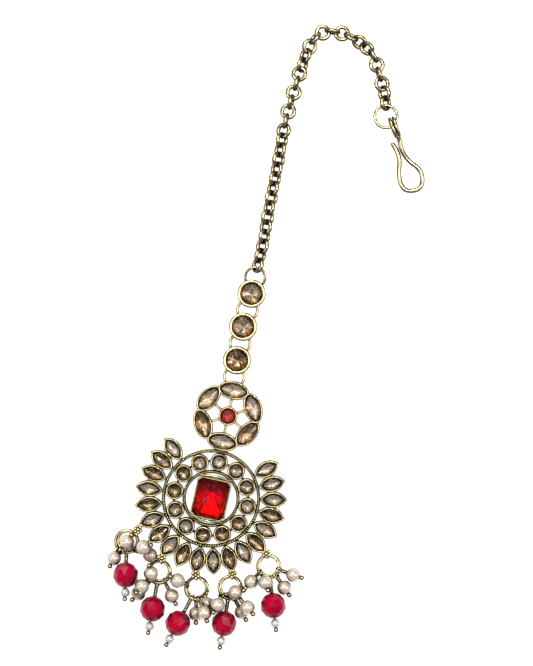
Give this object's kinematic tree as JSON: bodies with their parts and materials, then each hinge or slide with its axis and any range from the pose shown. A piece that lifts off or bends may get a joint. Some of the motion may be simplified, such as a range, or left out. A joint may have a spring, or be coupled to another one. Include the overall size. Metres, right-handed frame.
{
  "type": "maang tikka",
  "caption": "Forehead jewel with a petalled medallion, a stone flower, set links and a hair chain with a hook; pearls and red beads hang from its lower edge.",
  "frame": {"origin": "centre of the medallion's flat back, on the surface that the jewel lies on", "axes": "+Y along the jewel from the medallion towards the hair chain, +Z out of the jewelled face, +X to the right when seen from the front"},
  "size_m": [0.0572, 0.1603, 0.0067],
  "materials": {
    "antique_gold": "antique gold plate, bright on the high edges and dark in the recesses",
    "bright_gold": "polished pale gold plate",
    "champagne_stone": "clear brown faceted glass with bright sparkle",
    "ruby_stone": "clear saturated red, polished facets",
    "red_glass": "crimson faceted glass, slightly cloudy",
    "pearl": "cream pearl lustre"
  },
  "bodies": {
    "root": {"medallion_frame": "antique_gold", "octagon_stone": "ruby_stone", "flower_stone": "ruby_stone", "oval_stone_1": "champagne_stone", "oval_stone_2": "champagne_stone", "oval_stone_3": "champagne_stone", "oval_stone_4": "champagne_stone", "oval_stone_5": "champagne_stone", "oval_stone_6": "champagne_stone", "link_bezel_1": "antique_gold", "link_stone_1": "champagne_stone", "link_bezel_2": "antique_gold", "link_stone_2": "champagne_stone", "link_bezel_3": "antique_gold", "link_stone_3": "champagne_stone", "link_ring_1": "antique_gold", "link_ring_2": "antique_gold", "link_ring_3": "antique_gold", "link_ring_4": "antique_gold", "hair_chain": "antique_gold", "end_ring": "bright_gold", "hair_hook": "bright_gold", "pearl_cluster_1": "pearl", "red_bead_1": "red_glass", "red_pin_1": "bright_gold", "pearl_cluster_2": "pearl", "red_bead_2": "red_glass", "red_pin_2": "bright_gold", "pearl_cluster_3": "pearl", "red_bead_3": "red_glass", "red_pin_3": "bright_gold", "pearl_cluster_4": "pearl", "red_bead_4": "red_glass", "red_pin_4": "bright_gold", "pearl_cluster_5": "pearl", "red_bead_5": "red_glass", "red_pin_5": "bright_gold"}
  },
  "joints": []
}
